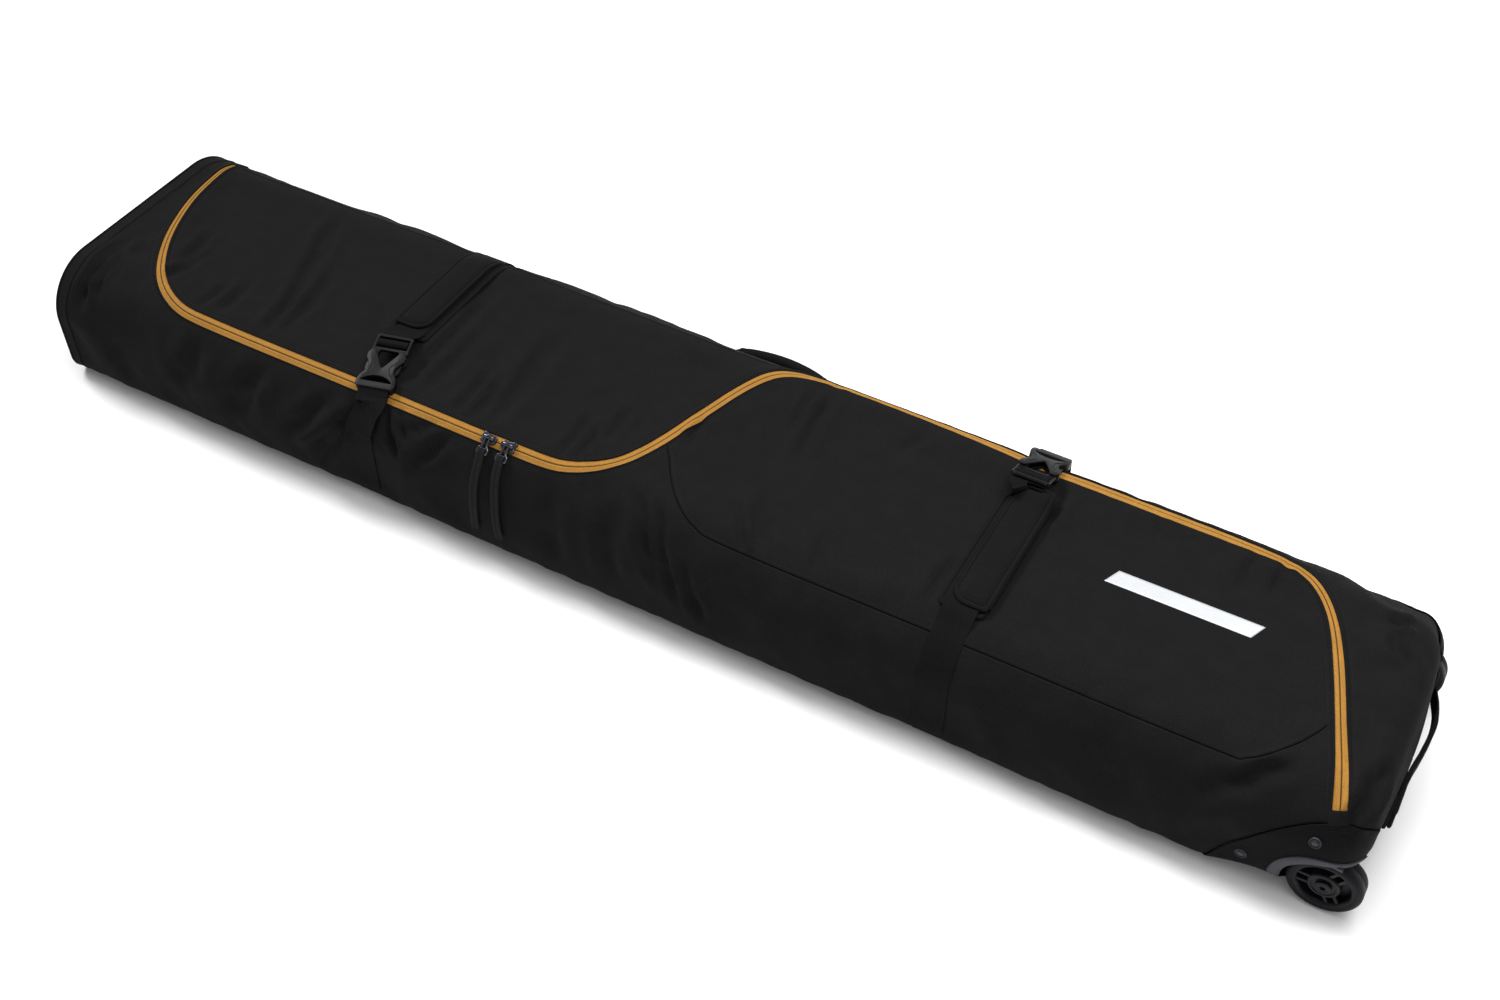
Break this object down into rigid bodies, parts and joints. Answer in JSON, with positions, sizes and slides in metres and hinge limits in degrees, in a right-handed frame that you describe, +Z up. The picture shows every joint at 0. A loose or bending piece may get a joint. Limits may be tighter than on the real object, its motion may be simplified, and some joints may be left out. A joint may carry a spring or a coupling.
{
  "type": "snowboard bag",
  "caption": "Long wheeled padded board bag lying flat, with an S-shaped zip, buckled compression straps, padded wraps, webbing handles and recessed corner wheels.",
  "frame": {"origin": "centre of the bag's flat base, on the floor it lies on", "axes": "+X along the bag towards the wheels, +Z up out of the top, -Y towards the side with the front buckle and the zip pulls"},
  "size_m": [1.715, 0.3891, 0.1803],
  "materials": {
    "shell_fabric": "matt woven polyester with a faint sheen",
    "base_fabric": "coated tarpaulin, slightly smoother than the shell",
    "stiffener": "matt polyethylene sheet",
    "foam": "closed cell foam, matt",
    "zip_tape": "woven zip tape, ochre",
    "zip_coil": "nylon coil under the tape, darker ochre",
    "webbing": "tight woven webbing",
    "grip": "padded fabric grip",
    "buckle_plastic": "satin moulded acetal",
    "housing_plastic": "matt moulded plastic, slightly violet grey",
    "wheel_plastic": "satin moulded nylon",
    "tyre_rubber": "smooth dark tread",
    "slider_metal": "glossy gunmetal",
    "bolt_steel": "blackened steel",
    "bearing_steel": "bearing steel"
  },
  "bodies": {
    "bag": {"base_panel": "base_fabric", "base_board": "stiffener", "foam_base": "foam", "foam_near": "foam", "foam_far": "foam", "tub_fabric": "shell_fabric", "head_flap": "shell_fabric", "wheel_flap": "shell_fabric", "head_end_panel": "shell_fabric", "wheel_end_panel": "shell_fabric", "head_piping": "webbing", "zip_tape_outer": "zip_tape", "zip_tape_inner": "zip_tape", "zip_coil": "zip_coil", "zip_end_tabs": "webbing", "corner_guard_near": "base_fabric", "corner_guard_far": "base_fabric", "wheel_housing_near": "housing_plastic", "wheel_housing_far": "housing_plastic", "housing_rivets": "bolt_steel", "axle_bolt_near": "bolt_steel", "axle_bolt_far": "bolt_steel", "strap_front_upper": "webbing", "strap_front_lower": "webbing", "strap_rear_upper": "webbing", "strap_rear_lower": "webbing", "wrap_front_base": "shell_fabric", "wrap_rear_base": "shell_fabric", "buckle_male_front": "buckle_plastic", "buckle_male_rear": "buckle_plastic", "inner_strap_head": "webbing", "inner_strap_wheel": "webbing", "handle_anchors": "webbing"},
    "wheel_near": {"wheel_core_near": "wheel_plastic", "tyre_near": "tyre_rubber", "bearings_near": "bearing_steel"},
    "wheel_far": {"wheel_core_far": "wheel_plastic", "tyre_far": "tyre_rubber", "bearings_far": "bearing_steel"},
    "slider_a": {"zip_slider_a": "slider_metal"},
    "slider_b": {"zip_slider_b": "slider_metal"},
    "pull_a": {"pull_link_a": "slider_metal", "pull_tab_a": "webbing"},
    "pull_b": {"pull_link_b": "slider_metal", "pull_tab_b": "webbing"},
    "female_front": {"buckle_female_front": "buckle_plastic"},
    "female_rear": {"buckle_female_rear": "buckle_plastic"},
    "prong_front_left": {"prong_front_left": "buckle_plastic"},
    "prong_front_right": {"prong_front_right": "buckle_plastic"},
    "prong_rear_left": {"prong_rear_left": "buckle_plastic"},
    "prong_rear_right": {"prong_rear_right": "buckle_plastic"},
    "wrap_flap_front": {"wrap_front_flap": "shell_fabric"},
    "wrap_flap_rear": {"wrap_rear_flap": "shell_fabric"},
    "side_handle": {"side_handle_grip": "grip", "side_handle_webbing": "webbing"},
    "wheel_end_handle": {"wheel_end_handle": "webbing"},
    "head_end_handle": {"head_end_handle": "webbing"}
  },
  "joints": [
    {"name": "wheel_near_spin", "type": "hinge", "parent": "bag", "child": "wheel_near", "pos_m": [0.811, -0.154, 0.0385], "axis": [0, 1, 0], "continuous": true},
    {"name": "wheel_far_spin", "type": "hinge", "parent": "bag", "child": "wheel_far", "pos_m": [0.811, 0.154, 0.0385], "axis": [0, 1, 0], "continuous": true},
    {"name": "slider_a_slide", "type": "slide", "parent": "bag", "child": "slider_a", "axis": [1, 0, 0], "range_m": [-0.115, 0]},
    {"name": "slider_b_slide", "type": "slide", "parent": "bag", "child": "slider_b", "axis": [1, 0, 0], "range_m": [0, 0.04]},
    {"name": "pull_a_lift", "type": "hinge", "parent": "slider_a", "child": "pull_a", "pos_m": [-0.192, -0.13592, 0.15568], "axis": [-1, 0, 0], "range_deg": [0, 170]},
    {"name": "pull_b_lift", "type": "hinge", "parent": "slider_b", "child": "pull_b", "pos_m": [-0.166, -0.13592, 0.15568], "axis": [-1, 0, 0], "range_deg": [0, 170]},
    {"name": "buckle_front_release", "type": "slide", "parent": "bag", "child": "female_front", "axis": [0.2532, -0.9448, -0.2079], "range_m": [0, 0.035]},
    {"name": "prong_front_left_press", "type": "hinge", "parent": "bag", "child": "prong_front_left", "pos_m": [-0.3517, -0.08413, 0.16869], "axis": [-0.0538, 0.2008, -0.9781], "range_deg": [0, 7], "stiffness_Nm_per_rad": 0.3},
    {"name": "prong_front_right_press", "type": "hinge", "parent": "bag", "child": "prong_front_right", "pos_m": [-0.38067, -0.09189, 0.16869], "axis": [0.0538, -0.2008, 0.9781], "range_deg": [0, 7], "stiffness_Nm_per_rad": 0.3},
    {"name": "buckle_rear_release", "type": "slide", "parent": "bag", "child": "female_rear", "axis": [0, 0.9272, -0.3746], "range_m": [0, 0.035]},
    {"name": "prong_rear_left_press", "type": "hinge", "parent": "bag", "child": "prong_rear_left", "pos_m": [0.362, 0.1058, 0.16812], "axis": [0, -0.3746, -0.9272], "range_deg": [0, 7], "stiffness_Nm_per_rad": 0.3},
    {"name": "prong_rear_right_press", "type": "hinge", "parent": "bag", "child": "prong_rear_right", "pos_m": [0.392, 0.1058, 0.16812], "axis": [0, 0.3746, 0.9272], "range_deg": [0, 7], "stiffness_Nm_per_rad": 0.3},
    {"name": "wrap_front_open", "type": "hinge", "parent": "bag", "child": "wrap_flap_front", "pos_m": [-0.403, 0.03, 0.1627], "axis": [0, -1, 0], "range_deg": [0, 130]},
    {"name": "wrap_rear_open", "type": "hinge", "parent": "bag", "child": "wrap_flap_rear", "pos_m": [0.411, -0.018, 0.1627], "axis": [0, 1, 0], "range_deg": [0, 130]},
    {"name": "side_handle_swing", "type": "hinge", "parent": "bag", "child": "side_handle", "pos_m": [0.01, 0.176, 0.088], "axis": [1, 0, 0], "range_deg": [-60, 40]},
    {"name": "wheel_end_handle_swing", "type": "hinge", "parent": "bag", "child": "wheel_end_handle", "pos_m": [0.841, 0, 0.088], "axis": [0, 1, 0], "range_deg": [-30, 30]},
    {"name": "head_end_handle_swing", "type": "hinge", "parent": "bag", "child": "head_end_handle", "pos_m": [-0.843, 0, 0.088], "axis": [0, 1, 0], "range_deg": [-30, 30]}
  ]
}
